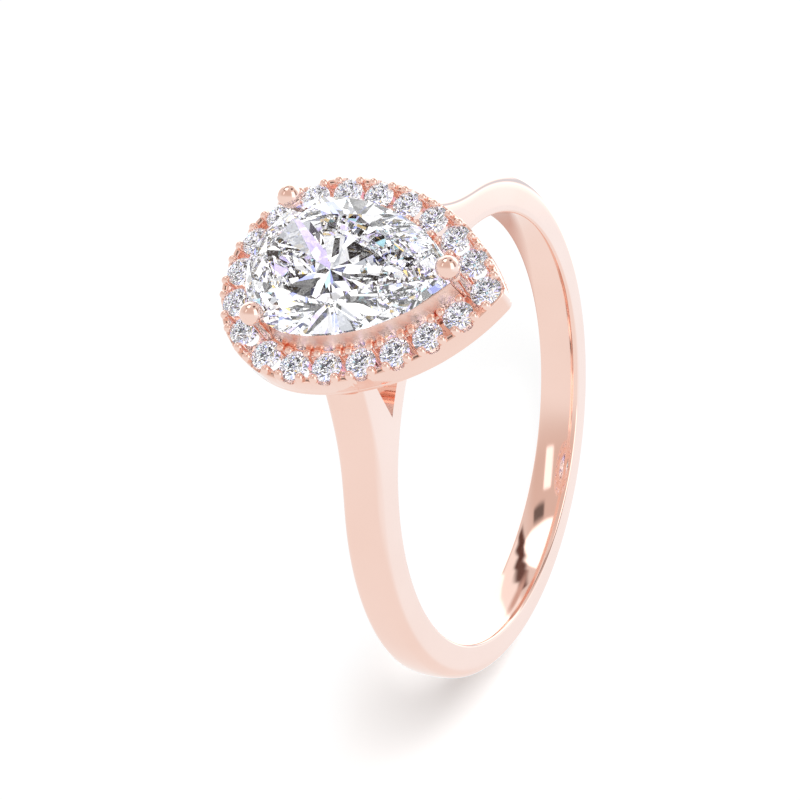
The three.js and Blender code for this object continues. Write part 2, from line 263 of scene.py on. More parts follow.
def pear(line, offset=0.0, tip_radius=0.05, side_count=48, round_count=48, tip_count=12):
    """A pear outline, offset outwards, with the same number of points whatever its size."""
    shift = line["side_radius"] - line["round_radius"]
    side = line["side_radius"] + offset
    reach = side - tip_radius
    open_angle = math.acos(shift / reach)
    tip_y = line["round_centre"] - math.sqrt(reach**2 - shift**2)
    return np.concatenate([
        arc(0, tip_y, tip_radius, open_angle - math.pi, -open_angle, tip_count),
        arc(-shift, line["round_centre"], side, -open_angle, 0, side_count),
        arc(0, line["round_centre"], line["round_radius"] + offset, 0, math.pi, round_count),
        arc(shift, line["round_centre"], side, math.pi, math.pi + open_angle, side_count),
    ])


def level(outline, z):
    return np.column_stack([outline, np.full(len(outline), z)])


def on_halo_line(run, offset):
    """A place offset from the halo's line; run starts amid the round end, positive towards +X."""
    quarter = HALO_LINE["round_radius"] * math.pi / 2
    side, along = (1 if run >= 0 else -1), abs(run)
    if along < quarter:
        centre_x, radius = 0.0, HALO_LINE["round_radius"]
        angle = math.pi / 2 - along / radius
    else:
        radius = HALO_LINE["side_radius"]
        centre_x = HALO_LINE["round_radius"] - radius
        angle = -(along - quarter) / radius
    out = np.array([math.cos(angle), math.sin(angle)])
    place = np.array([centre_x, HALO_LINE["round_centre"]]) + (radius + offset) * out
    return place * (side, 1), out * (side, 1)


def melee_runs():
    shift = HALO_LINE["side_radius"] - HALO_LINE["round_radius"]
    half = HALO_LINE["round_radius"] * math.pi / 2
    half += HALO_LINE["side_radius"] * math.acos(shift / HALO_LINE["side_radius"])
    steps = MELEE_PER_SIDE + 1
    pitch = (half - CLAW_GAP_EXTRA) / steps
    return [k * pitch + (CLAW_GAP_EXTRA if k > CLAW_GAP_INDEX else 0) for k in range(steps + 1)]


# ---- band ---------------------------------------------------------------------------------------
def outer_radius(degrees):
    a = abs(degrees)
    round_band = FINGER_RADIUS + BAND_THICKNESS + BAND_THICKNESS_GAIN * math.cos(math.radians(a))
    climb = max(0.0, SHOULDER_START - max(a, SHOULDER_FULL_CLIMB)) / SHOULDER_RISE_SPAN
    return round_band + SHOULDER_RISE * climb**SHOULDER_RISE_POWER


def crowned_corner(face, crown_radius, corner, half_width, way, count):
    """(r, y) from the flat side round the corner to the middle of a crowned face; way is +1 outwards."""
    centre = face - way * crown_radius
    reach = math.sqrt((crown_radius - corner) ** 2 - (half_width - corner) ** 2)
    corner_r = centre + way * reach
    turn = math.atan2(half_width - corner, reach)
    points = []
    for a in np.linspace(math.pi / 2, turn, count):
        points.append((corner_r + way * corner * math.cos(a), half_width - corner + corner * math.sin(a)))
    for a in np.linspace(turn, 0, count // 2 + 2)[1:]:
        points.append((centre + way * crown_radius * math.cos(a), crown_radius * math.sin(a)))
    return points


def band_section(outer):
    """One half of the band's section as (r, inset from the flat side), from the inner middle outwards."""
    inner = crowned_corner(FINGER_RADIUS, INNER_CROWN_RADIUS, INNER_CORNER, BAND_HALF_WIDTH, -1, 8)
    shell = crowned_corner(outer, OUTER_CROWN_RADIUS, OUTER_CORNER, BAND_HALF_WIDTH, 1, 14)
    flat = [(r, BAND_HALF_WIDTH) for r in np.linspace(inner[0][0], shell[0][0], 6)[1:-1]]
    half = inner[::-1] + flat + shell
    return [(r, BAND_HALF_WIDTH - y) for r, y in half]


def band_loop(degrees):
    a = math.radians(degrees)
    half = band_section(outer_radius(degrees))
    near = [(r, inset, -1) for r, inset in half]
    far = [(r, inset, 1) for r, inset in half[-2:0:-1]]
    loop = []
    for r, inset, side in near + far:
        z = r * math.cos(a)
        loop.append((r * math.sin(a), side * (BAND_HALF_WIDTH - SIDE_LEAN * z - inset), z))
    return loop


def band_angles():
    fine = np.arange(-52, 52, 0.5)
    coarse = np.arange(52, 308, 1.0)
    return [a if a <= 180 else a - 360 for a in np.concatenate([fine, coarse])]


def fingerwise_prism(name, outline, half_depth):
    low = [(x, -half_depth, z) for x, z in outline]
    high = [(x, half_depth, z) for x, z in outline]
    return loft(name, [low, high])


def head_space():
    """What the head takes out of the band: everything above the bridge, between and above the shoulders."""
    a = np.radians(np.linspace(WINDOW_ANGLE, -WINDOW_ANGLE, 61))
    bridge = [(BRIDGE_RADIUS * math.sin(t), BRIDGE_RADIUS * math.cos(t)) for t in a]
    beyond = 15.0
    outline = bridge + [
        (-SHOULDER_INNER_TOP, HALO_UNDERSIDE),
        (-beyond, HALO_UNDERSIDE),
        (-beyond, beyond),
        (beyond, beyond),
        (beyond, HALO_UNDERSIDE),
        (SHOULDER_INNER_TOP, HALO_UNDERSIDE),
    ]
    return fingerwise_prism("head_space", outline, 3.0)


def make_band(material):
    band = loft("band", [band_loop(a) for a in band_angles()], closed=True)
    boolean(band, "DIFFERENCE", [head_space()])
    smooth_by_angle(band, 30)
    soften_edges(band, 0.045)
    apply_modifiers(band)
    return finish_piece(
        band, "polished_band", material, "rose_gold", ["shank", "shoulder_left", "shoulder_right"]
    )


# ---- stones -------------------------------------------------------------------------------------
def plane_through(a, b, c):
    """A plane through three points, with its normal away from the stone's middle at the origin."""
    a, b, c = (np.asarray(p, float) for p in (a, b, c))
    normal = np.cross(b - a, c - a)
    normal /= np.linalg.norm(normal)
    return (a, normal if normal @ a > 0 else -normal)


def brilliant(outline, culet_y, girdle_half, crown, pavilion, crown_angle, star_angle, lower_share):
    """A brilliant cut on any outline, cut from a blank one flat facet after another.

    The outline's points are about the culet; eight main facets above and eight below stand round it,
    one of them towards the point of the pear.
    """
    bearing = np.arctan2(outline[:, 0], -(outline[:, 1]))
    order = np.argsort(bearing)
    bearing, ring = bearing[order], outline[order]
    bearing = np.concatenate([bearing - 2 * math.pi, bearing, bearing + 2 * math.pi])
    ring = np.concatenate([ring, ring, ring])

    def girdle(share, z):
        """A girdle point; share counts eighths of a turn from the point of the pear."""
        t = (share * math.pi / 4 + math.pi) % (2 * math.pi) - math.pi
        return np.array([np.interp(t, bearing, ring[:, 0]), np.interp(t, bearing, ring[:, 1]), z])

    def tangent(share):
        step = girdle(share + 0.02, 0) - girdle(share - 0.02, 0)
        return step / np.linalg.norm(step)

    culet = np.array([0, 0, -pavilion])
    planes = [(np.array([0, 0, crown]), np.array([0, 0, 1.0]))]
    bezels, mains, table = [], [], []
    for k in range(8):
        top, low, along = girdle(k, girdle_half), girdle(k, -girdle_half), tangent(k)
        inward = np.array([-along[1], along[0], 0])
        if inward @ top > 0:
            inward = -inward
        rise = (crown - girdle_half) / math.tan(crown_angle)
        corner = top + inward * rise + (0, 0, crown - girdle_half)
        table.append(corner)
        bezels.append(plane_through(top, top + along, corner))
        mains.append(plane_through(low, low + along, culet))
    planes += bezels + mains
    for k in range(8):
        first, second = table[k], table[(k + 1) % 8]
        chord = second - first
        out = np.array([chord[1], -chord[0], 0]) / np.linalg.norm(chord)
        if out @ first < 0:
            out = -out
        down_slope = out * math.cos(star_angle) - (0, 0, math.sin(star_angle))
        star = plane_through(first, second, first + down_slope)
        planes.append(star)
        tip = meeting_point(star, bezels[k], bezels[(k + 1) % 8])
        ridge = np.cross(mains[k][1], mains[(k + 1) % 8][1])
        ridge /= np.linalg.norm(ridge)
        middle = girdle(k + 0.5, -girdle_half)
        if ridge @ middle < 0:
            ridge = -ridge
        depth_point = culet + ridge * np.linalg.norm(middle - culet) * (1 - lower_share)
        for edge in (k, k + 1):
            above = girdle(edge, girdle_half), girdle(k + 0.5, girdle_half)
            below = girdle(edge, -girdle_half), girdle(k + 0.5, -girdle_half)
            planes.append(plane_through(*above, tip))
            planes.append(plane_through(*below, depth_point))
    blank = level(outline, 0)
    work = bmesh.new()
    tall = [work.verts.new(p + (0, 0, 2 * crown)) for p in blank]
    deep = [work.verts.new(p - (0, 0, 2 * pavilion)) for p in blank]
    work.faces.new(tall)
    work.faces.new(deep[::-1])
    for j in range(len(blank)):
        k = (j + 1) % len(blank)
        work.faces.new((deep[j], deep[k], tall[k], tall[j]))
    bmesh.ops.recalc_face_normals(work, faces=work.faces)
    for point, normal in planes:
        cut = bmesh.ops.bisect_plane(
            work,
            geom=work.verts[:] + work.edges[:] + work.faces[:],
            dist=1e-6,
            plane_co=Vector(point),
            plane_no=Vector(normal),
            clear_outer=True,
        )
        rim = [g for g in cut["geom_cut"] if isinstance(g, bmesh.types.BMEdge)]
        if len(rim) > 2:
            bmesh.ops.contextual_create(work, geom=rim)
    bmesh.ops.remove_doubles(work, verts=work.verts, dist=1e-4)
    bmesh.ops.recalc_face_normals(work, faces=work.faces)
    points = np.array([v.co for v in work.verts])
    work.verts.index_update()
    faces = [[v.index for v in f.verts] for f in work.faces]
    work.free()
    return points + (0, culet_y, 0), faces


def meeting_point(*planes):
    normals = np.array([n for _, n in planes])
    return np.linalg.solve(normals, np.array([n @ p for p, n in planes]))


def pear_brilliant():
    outline = pear(STONE_LINE, 0, 0.12, 30, 36, 8) - (0, STONE_CULET_Y)
    return brilliant(outline, STONE_CULET_Y, **PEAR_CUT)


def round_brilliant():
    outline = arc(0, 0, MELEE_RADIUS, 0, 2 * math.pi, 64)
    return brilliant(outline, 0, **ROUND_CUT)


def stone_object(name, cut, place, girdle_z, grow=0.0):
    """A stone cut as given, or the room for it where grow is the gap all round."""
    points, faces = cut
    points = np.array(points)
    if grow:
        middle = (points.max(0) + points.min(0)) / 2
        size = points.max(0) - points.min(0)
        points = middle + (points - middle) * (1 + 2 * grow / size)
    return new_object(name, points + (*place, girdle_z), faces)


# ---- claws --------------------------------------------------------------------------------------
def claw_places():
    def reach(radial, side):
        a = math.radians(CLAW_ANGLE)
        return np.array([side * radial * math.cos(a), STONE_LINE["round_centre"] + radial * math.sin(a)])

    claws = {}
    for name, side in (("claw_left", -1), ("claw_right", 1)):
        claws[name] = {
            "ball": reach(CLAW_RADIAL, side),
            "stem": reach(CLAW_RADIAL, side),
            "foot": reach(CLAW_FOOT_RADIAL, side),
        }
    claws["claw_tip"] = {
        "ball": np.array([0, TIP_CLAW_BALL_Y]),
        "stem": np.array([0, TIP_CLAW_STEM_Y]),
        "foot": np.array([0, TIP_CLAW_FOOT_Y]),
    }
    return claws


def claw_solid(name, claw, grow=0.0):
    """A wire swept up from the lower rail, past the girdle, swelling into a ball at its end."""
    knots = np.array([
        (*claw["foot"], CLAW_FOOT_Z - grow),
        (*(claw["foot"] + 0.5 * (claw["stem"] - claw["foot"])), (CLAW_FOOT_Z + CLAW_BEND_Z) / 2),
        (*claw["stem"], CLAW_BEND_Z),
        (*(claw["stem"] + 0.5 * (claw["ball"] - claw["stem"])), (CLAW_BEND_Z + CLAW_BALL_Z) / 2),
        (*claw["ball"], CLAW_BALL_Z),
        (*claw["ball"], CLAW_BALL_Z + CLAW_BALL_RADIUS + grow),
    ])
    heights = np.concatenate([
        np.linspace(CLAW_FOOT_Z - grow, CLAW_BALL_Z - CLAW_BALL_RADIUS, 30, endpoint=False),
        CLAW_BALL_Z - (CLAW_BALL_RADIUS + grow) * np.cos(np.linspace(0.02, math.pi - 0.02, 26)),
    ])
    heights = np.unique(np.clip(heights, knots[0, 2], knots[-1, 2] - 1e-4))
    smooth = [np.interp(heights, knots[:, 2], knots[:, i]) for i in (0, 1)]
    kernel = np.hanning(9) / np.hanning(9).sum()
    smooth = [np.convolve(np.pad(s, 4, mode="edge"), kernel, mode="valid") for s in smooth]
    angles = np.linspace(0, 2 * math.pi, 32, endpoint=False)
    loops = []
    for x, y, z in zip(*smooth, heights):
        ball = math.sqrt(max(0.0, (CLAW_BALL_RADIUS + grow) ** 2 - (z - CLAW_BALL_Z) ** 2))
        stem = (CLAW_STEM_RADIUS + grow) if z < CLAW_BALL_Z else 0.0
        neck = 0.05
        blend = max(neck - abs(ball - stem), 0.0) / neck
        radius = max(ball, stem, 0.002) + blend * blend * neck / 4
        loops.append(np.column_stack([
            x + radius * np.cos(angles), y + radius * np.sin(angles), np.full(len(angles), z)
        ]))
    return loft(name, loops)


# ---- halo ---------------------------------------------------------------------------------------
def rounded_section(low, high, inner, outer, radius, count=4):
    """(offset, z) round a rectangular section with rounded corners."""
    corners = [
        (outer - radius, low + radius, -math.pi / 2),
        (outer - radius, high - radius, 0),
        (inner + radius, high - radius, math.pi / 2),
        (inner + radius, low + radius, math.pi),
    ]
    section = []
    for cx, cz, start in corners:
        for a in np.linspace(start, start + math.pi / 2, count + 1):
            section.append((cx + radius * math.cos(a), cz + radius * math.sin(a)))
    return section


def pear_ring(name, line, section, tip_radius):
    """A pear-shaped ring of any section, given as (offset, z) in order round it."""
    loops = []
    for offset, z in section:
        loops.append(level(pear(line, offset, tip_radius(offset)), z))
    return loft(name, loops, closed=True)


def bead_prong(place, radius):
    rise = np.linspace(0, math.pi / 2, 8)
    dome = [(radius * math.cos(a), PRONG_BALL_Z + radius * math.sin(a)) for a in rise]
    profile = [(0, PRONG_FOOT_Z), (radius, PRONG_FOOT_Z)] + dome[:-1] + [(0, PRONG_BALL_Z + radius)]
    return turned("prong", profile, place, 20)


def seat_cutter(place):
    wide = MELEE_RADIUS + FIT_GAP
    profile = [
        (0, HALO_UNDERSIDE - 0.5),
        (AZURE_RADIUS, HALO_UNDERSIDE - 0.5),
        (AZURE_RADIUS, MELEE_GIRDLE_Z - 0.3),
        (wide, MELEE_GIRDLE_Z - 0.03),
        (wide, MELEE_GIRDLE_Z + 1),
        (0, MELEE_GIRDLE_Z + 1),
    ]
    return turned("seat", profile, place, 32)


def notch_cutter(run):
    """A U-shaped cut through the outer wall under one stone."""
    start, out = on_halo_line(run, 0.25)
    along = np.array([-out[1], out[0]])
    middle = NOTCH_BOTTOM + NOTCH_HALF_WIDTH
    outline = [(NOTCH_HALF_WIDTH, middle + 1), (-NOTCH_HALF_WIDTH, middle + 1)]
    for a in np.linspace(math.pi, 2 * math.pi, 13):
        outline.append((NOTCH_HALF_WIDTH * math.cos(a), middle + NOTCH_HALF_WIDTH * math.sin(a)))
    loops = []
    for depth in (0, 0.8):
        base = start + depth * out
        loops.append([(*(base + u * along), z) for u, z in outline])
    return loft("notch", loops)


def halo_prongs(runs, claws):
    prongs = []
    for side in (-1, 1):
        for here, there in zip(runs, runs[1:]):
            for kind in (OUTER_PRONG, INNER_PRONG):
                for step in (-kind["spread"], kind["spread"]):
                    place, _ = on_halo_line(side * ((here + there) / 2 + step), kind["offset"])
                    room = CLAW_STEM_RADIUS + kind["radius"]
                    if all(np.linalg.norm(c["stem"] - place) > room for c in claws.values()):
                        prongs.append(bead_prong(place, kind["radius"]))
    return prongs


def make_halo(material, runs, places, claws, round_cut):
    """A floor, two lips and the gallery wall in one, with the stones' seats cut and the beads raised."""
    lip_foot = HALO_FLOOR - LIP_SINK
    base = rounded_section(HALO_UNDERSIDE, HALO_FLOOR, HALO_INNER, HALO_OUTER, FLOOR_EDGE)
    outer_lip = rounded_section(lip_foot, LIP_TOP, HALO_OUTER - LIP_WIDTH, HALO_OUTER, LIP_EDGE)
    inner_lip = rounded_section(lip_foot, LIP_TOP, HALO_INNER, HALO_INNER + LIP_WIDTH, LIP_EDGE)

    def tip_radius(offset):
        return max(0.05, HALO_TIP_RADIUS + offset - HALO_OUTER)

    halo, outer, inner = (
        pear_ring("halo", HALO_LINE, section, tip_radius) for section in (base, outer_lip, inner_lip)
    )
    wall = [
        (GALLERY_WALL["inner"], GALLERY_WALL["bottom"]),
        (GALLERY_WALL["outer"], GALLERY_WALL["bottom"]),
        (GALLERY_WALL["outer"], GALLERY_WALL["foot"]),
        (GALLERY_WALL["inner"] + 0.06, GALLERY_WALL["top"] - 0.02),
        (GALLERY_WALL["inner"] + 0.03, GALLERY_WALL["top"]),
        (GALLERY_WALL["inner"], GALLERY_WALL["top"]),
    ]
    wall = pear_ring("wall", STONE_LINE, wall, lambda offset: RAIL_TIP_RADIUS)
    every_run = list(runs) + [-run for run in runs[1:-1]]
    boolean(halo, "UNION", [outer, inner, wall])
    boolean(halo, "DIFFERENCE", [seat_cutter(p) for p in places])
    boolean(halo, "DIFFERENCE", [notch_cutter(run) for run in every_run])
    boolean(halo, "UNION", halo_prongs(runs, claws))
    stones = [stone_object("room", round_cut, p, MELEE_GIRDLE_Z, FIT_GAP) for p in places]
    boolean(halo, "DIFFERENCE", stones)
    boolean(halo, "DIFFERENCE", [claw_solid("room", c, FIT_GAP) for c in claws.values()])
    smooth_by_angle(halo, 32)
    finish_piece(halo, "halo_frame_fine", material, "rose_gold", ["halo_frame"])


def make_claws(material, claws, pear_cut, round_cut, places):
    for name, claw in claws.items():
        solid = claw_solid(name, claw)
        tools = [stone_object("room", pear_cut, (0, 0), STONE_GIRDLE_Z, FIT_GAP)]
        tools += [stone_object("room", round_cut, p, MELEE_GIRDLE_Z, FIT_GAP) for p in places]
        boolean(solid, "DIFFERENCE", tools)
        smooth_by_angle(solid, 40)
        finish_piece(solid, name + "_fine", material, "rose_gold", [name])


def make_rails(material, claws, pear_cut):
    for name, rail in (("seat_rail", SEAT_RAIL), ("lower_rail", LOWER_RAIL)):
        section = rounded_section(rail["bottom"], rail["top"], rail["inner"], rail["outer"], 0.06)
        solid = pear_ring(name, STONE_LINE, section, lambda offset: RAIL_TIP_RADIUS)
        tools = [claw_solid("room", c, FIT_GAP) for c in claws.values()]
        tools.append(stone_object("room", pear_cut, (0, 0), STONE_GIRDLE_Z, FIT_GAP))
        boolean(solid, "DIFFERENCE", tools)
        smooth_by_angle(solid, 35)
        finish_piece(solid, name + "_fine", material, "rose_gold", [name])


# ---- materials ----------------------------------------------------------------------------------
GOLD_DEEP = (0.92, 0.665, 0.575)
GOLD_PALE = (0.94, 0.69, 0.603)
SATIN_FROM = 12.2            # just under the tops of the bead prongs, at 12.25
SATIN_BLEND = 0.1
SATIN_ROUGHNESS = 0.22


def principled(name):
    material = bpy.data.materials.new(name)
    material.use_nodes = True
    nodes = material.node_tree.nodes
    return material, nodes, material.node_tree.links, nodes["Principled BSDF"]


def rose_gold(name, satin_above=None):
    """Polished rose gold: faint unevenness of colour and polish, and the finest of buffing marks.

    Above the height satin_above it is satin, as the halo's gallery wall is.
    """
    material, nodes, links, shader = principled(name)
    shader.inputs["Metallic"].default_value = 1.0
    place = nodes.new("ShaderNodeTexCoord").outputs["Object"]

    def noise(scale, detail):
        node = nodes.new("ShaderNodeTexNoise")
        links.new(place, node.inputs["Vector"])
        node.inputs["Scale"].default_value = scale / MM
        node.inputs["Detail"].default_value = detail
        return node.outputs["Fac"]

    tone = nodes.new("ShaderNodeValToRGB")
    tone.color_ramp.elements[0].position = 0.3
    tone.color_ramp.elements[0].color = (*GOLD_DEEP, 1)
    tone.color_ramp.elements[1].position = 0.7
    tone.color_ramp.elements[1].color = (*GOLD_PALE, 1)
    links.new(noise(0.35, 2), tone.inputs[0])
    links.new(tone.outputs["Color"], shader.inputs["Base Color"])

    polish = nodes.new("ShaderNodeMapRange")
    polish.inputs["To Min"].default_value = 0.035
    polish.inputs["To Max"].default_value = 0.1
    links.new(noise(1.2, 4), polish.inputs["Value"])
    links.new(polish.outputs["Result"], shader.inputs["Roughness"])
    if satin_above is not None:
        height = nodes.new("ShaderNodeSeparateXYZ")
        links.new(place, height.inputs["Vector"])
        start = put([(0, 0, satin_above)])[0][2]
        satin = nodes.new("ShaderNodeMapRange")
        satin.inputs["From Min"].default_value = start
        satin.inputs["From Max"].default_value = start + SATIN_BLEND * MM
        satin.inputs["To Max"].default_value = SATIN_ROUGHNESS
        links.new(height.outputs["Z"], satin.inputs["Value"])
        both = nodes.new("ShaderNodeMath")
        both.operation = "ADD"
        links.new(polish.outputs["Result"], both.inputs[0])
        links.new(satin.outputs["Result"], both.inputs[1])
        links.new(both.outputs["Value"], shader.inputs["Roughness"])

    marks = nodes.new("ShaderNodeBump")
    marks.inputs["Strength"].default_value = 0.02
    marks.inputs["Distance"].default_value = 0.004 * MM
    links.new(noise(14, 3), marks.inputs["Height"])
    links.new(marks.outputs["Normal"], shader.inputs["Normal"])
    return material


def diamond():
    """Clear diamond with the faintest unevenness of colour."""
    material, nodes, links, shader = principled("cut_diamond")
    cloud = nodes.new("ShaderNodeTexNoise")
    cloud.inputs["Scale"].default_value = 0.5 / MM
    links.new(nodes.new("ShaderNodeTexCoord").outputs["Object"], cloud.inputs["Vector"])
    tint = nodes.new("ShaderNodeValToRGB")
    tint.color_ramp.elements[0].color = (0.985, 0.99, 1, 1)
    tint.color_ramp.elements[1].color = (1, 1, 1, 1)
    links.new(cloud.outputs["Fac"], tint.inputs["Fac"])
    links.new(tint.outputs["Color"], shader.inputs["Base Color"])
    shader.inputs["Roughness"].default_value = 0.0
    shader.inputs["IOR"].default_value = 2.417
    shader.inputs["Transmission Weight"].default_value = 1.0
    return material


# ---- stage --------------------------------------------------------------------------------------
CAMERA = {
    "azimuth": -38.93,
    "elevation": 56.2,
    "roll": -39.87,
    "distance": 89.26,
    "right": -2.952,
    "up": 1.049,
}
LENS = 104.06
SENSOR = 36.0

FLOOR_SIZE = 0.6
# The pool: floor glow dimmed and tinted pink there, painted shade under the band's real shadow.
SHADOW_POOL = {
    "x": -8.8,
    "y": 2.8,
    "radius": 5.4,
    "glow": 0.55,
    "shade": 0.75,
    "far_glow": 0.94,
    "far_shade": 0.12,
}
KEY_LIGHT = {"toward": (0.06, -0.46, 0.88), "distance": 0.5, "size": 0.22, "energy": 2.2}

STUDIO_ROLL = math.radians(53.66)
STUDIO_BELOW = (0.97, 0.97, 0.97)
STUDIO_ABOVE = (0.85, 0.8, 0.78)
# Each patch: azimuth, width, elevation, height and softness in degrees, then colour; later ones lie on top.
# Dark red and pink patches among them stand in for the ring's own shadow and pink bounce: painted shade and
# painted reflection.
STUDIO = [
    (-30, 112, 38, 56, 26, (0.76, 0.64, 0.59)),
    (-150, 80, 56, 20, 6, (1.08, 1.08, 1.08)),
    (-74, 90, 71, 26, 3, (1.8, 1.8, 1.8)),
    (-68, 18, 51, 9, 5, (0.18, 0.15, 0.14)),
    (-103, 10, 53, 14, 6, (0.12, 0.06, 0.05)),
    (-110, 14, 58, 12, 6, (0.12, 0.06, 0.05)),
    (-119, 26, 63, 8, 6, (0.12, 0.06, 0.05)),
    (-134, 34, 67, 9, 6, (0.14, 0.08, 0.07)),
    (-150, 42, 71, 8, 6, (0.16, 0.09, 0.08)),
    (115, 150, -2, 40, 30, (1.03, 1.16, 1.24)),
    (165, 110, 22, 56, 4, (1.7, 1.7, 1.7)),
    (133, 44, 7, 12, 8, (0.77, 0.9, 1.02)),
    (45, 32, 20, 50, 4, (1.7, 1.7, 1.7)),
    (76, 18, 28, 40, 6, (0.4, 0.3, 0.27)),
    (-55, 10, 29, 22, 3, (1.5, 1.5, 1.5)),
    (75, 60, 68, 16, 6, (0.2, 0.12, 0.1)),
]
# A glowing card seen only in reflections: painted shade reflected in the inside of the band.
SHADE_CARD = {
    "place": (9.6, 3.0, -4.0),
    "half_width": 4.6,
    "half_height": 3.8,
    "colour": (0.68, 0.5, 0.45),
}
SPARKLE_SCALE = 4.6
SPARKLE_BRIGHTNESS = [
    (0.0, (0.0, 0.0, 0.0)),
    (0.3, (0.25, 0.27, 0.32)),
    (0.36, (0.75, 0.78, 0.84)),
    (0.5, (1.1, 1.1, 1.12)),
    (0.66, (1.8, 1.8, 1.8)),
]
SPARKLE_FIRE = [
    (0.0, (1, 1, 1)),
    (0.8, (0.4, 0.45, 1.0)),
    (0.87, (1.0, 0.7, 0.25)),
    (0.91, (0.7, 0.6, 1.0)),
    (0.98, (0.5, 0.85, 0.95)),
]


def make_camera():
    right, up, back = camera_axes()
    place = back * CAMERA["distance"] + right * CAMERA["right"] + up * CAMERA["up"]
    data = bpy.data.cameras.new("camera")
    data.lens = LENS
    data.sensor_width = SENSOR
    data.clip_start = 0.005
    data.clip_end = 10
    camera = bpy.data.objects.new("camera", data)
    bpy.context.scene.collection.objects.link(camera)
    turn = Matrix((right, up, back)).transposed().to_4x4()
    camera.matrix_world = Matrix.Translation(Vector(put([place])[0])) @ turn
    bpy.context.scene.camera = camera


def make_floor():
    """A pale floor that takes the band's real shadow faintly, and more strongly in one pool beside the
    band, where its glow is also dimmed and tinted pink: painted shade that deepens and colours the real
    shadow.

    The metal and the stones mirror the studio round them instead of it.
    """
    mesh = bpy.data.meshes.new("floor")
    corners = [(-FLOOR_SIZE, -FLOOR_SIZE, 0), (FLOOR_SIZE, -FLOOR_SIZE, 0)]
    corners += [(FLOOR_SIZE, FLOOR_SIZE, 0), (-FLOOR_SIZE, FLOOR_SIZE, 0)]
    mesh.from_pydata(corners, [], [(0, 1, 2, 3)])
    floor = bpy.data.objects.new("floor", mesh)
    floor.location.z = -0.02 * MM
    floor.visible_glossy = False
    floor.visible_transmission = False
    bpy.context.scene.collection.objects.link(floor)
    material, nodes, links, shader = principled("floor")
    shader.inputs["Roughness"].default_value = 1.0
    shader.inputs["Specular IOR Level"].default_value = 0.0
    where = nodes.new("ShaderNodeTexCoord")
    scale = 1 / (SHADOW_POOL["radius"] * MM)
    centre = nodes.new("ShaderNodeMapping")
    centre.inputs["Scale"].default_value = (scale, scale, scale)
    shift = [-SHADOW_POOL[axis] * MM * scale for axis in ("x", "y")]
    centre.inputs["Location"].default_value = (*shift, 0)
    pool = nodes.new("ShaderNodeTexGradient")
    pool.gradient_type = "SPHERICAL"
    links.new(where.outputs["Object"], centre.inputs["Vector"])
    links.new(centre.outputs["Vector"], pool.inputs["Vector"])
    shade, glow = SHADOW_POOL["shade"], SHADOW_POOL["glow"]
    far_shade, far_glow = SHADOW_POOL["far_shade"], SHADOW_POOL["far_glow"]
    # Inside the pool, less glow and a pink glow tint: painted shade that deepens and colours the real
    # shadow.
    changes = {
        "Base Color": ((far_shade, far_shade, far_shade, 1), (shade, shade, shade, 1)),
        "Emission Strength": ((far_glow, far_glow, far_glow, 1), (glow, glow, glow, 1)),
        "Emission Color": ((1, 1, 1, 1), (1, 0.95, 0.93, 1)),
    }
    for socket, (outside, inside) in changes.items():
        ramp = nodes.new("ShaderNodeValToRGB")
        ramp.color_ramp.interpolation = "EASE"
        ramp.color_ramp.elements[0].color = outside
        ramp.color_ramp.elements[1].color = inside
        ramp.color_ramp.elements[1].position = 0.45
        links.new(pool.outputs["Fac"], ramp.inputs["Fac"])
        links.new(ramp.outputs["Color"], shader.inputs[socket])
    mesh.materials.append(material)


def camera_axes():
    a, e, roll = (math.radians(CAMERA[k]) for k in ("azimuth", "elevation", "roll"))
    back = Vector((math.sin(a) * math.cos(e), -math.cos(a) * math.cos(e), math.sin(e)))
    level_right = Vector((math.cos(a), math.sin(a), 0))
    level_up = back.cross(level_right)
    right = math.cos(roll) * level_right + math.sin(roll) * level_up
    up = -math.sin(roll) * level_right + math.cos(roll) * level_up
    return right, up, back


def studio_axes():
    """The studio's front, where the camera is, its right and its up, leaning over by the ring's roll."""
    up = Vector((math.sin(STUDIO_ROLL), 0, math.cos(STUDIO_ROLL)))
    back = camera_axes()[2]
    front = (back - back.dot(up) * up).normalized()
    return front, up.cross(front), up


def make_shade_card():
    """A dim pink glowing card behind the finger hole, seen only in the polished inside of the band, which
    it tints:
    a painted reflection of shade, standing in for the shadowed floor and the band's own pink bounce.
    """
    wide, tall = SHADE_CARD["half_width"], SHADE_CARD["half_height"]
    mesh = bpy.data.meshes.new("shade_card")
    mesh.from_pydata([(-1, 0, -1), (1, 0, -1), (1, 0, 1), (-1, 0, 1)], [], [(0, 1, 2, 3)])
    card = bpy.data.objects.new("shade_card", mesh)
    card.location = put([SHADE_CARD["place"]])[0]
    card.scale = (wide * MM, 1, tall * MM)
    for kind in ("camera", "diffuse", "transmission", "shadow"):
        setattr(card, "visible_" + kind, False)
    bpy.context.scene.collection.objects.link(card)
    material = bpy.data.materials.new("shade_card")
    material.use_nodes = True
    nodes, links = material.node_tree.nodes, material.node_tree.links
    nodes.clear()
    fading = nodes.new("ShaderNodeTexGradient")
    fading.gradient_type = "SPHERICAL"
    links.new(nodes.new("ShaderNodeTexCoord").outputs["Object"], fading.inputs[0])
    widen = nodes.new("ShaderNodeMapRange")
    widen.inputs["From Max"].default_value = 0.6
    links.new(fading.outputs["Fac"], widen.inputs["Value"])
    glow = nodes.new("ShaderNodeEmission")
    glow.inputs["Color"].default_value = (*SHADE_CARD["colour"], 1)
    mix = nodes.new("ShaderNodeMixShader")
    links.new(widen.outputs["Result"], mix.inputs[0])
    links.new(nodes.new("ShaderNodeBsdfTransparent").outputs[0], mix.inputs[1])
    links.new(glow.outputs[0], mix.inputs[2])
    links.new(mix.outputs[0], nodes.new("ShaderNodeOutputMaterial").inputs[0])
    mesh.materials.append(material)


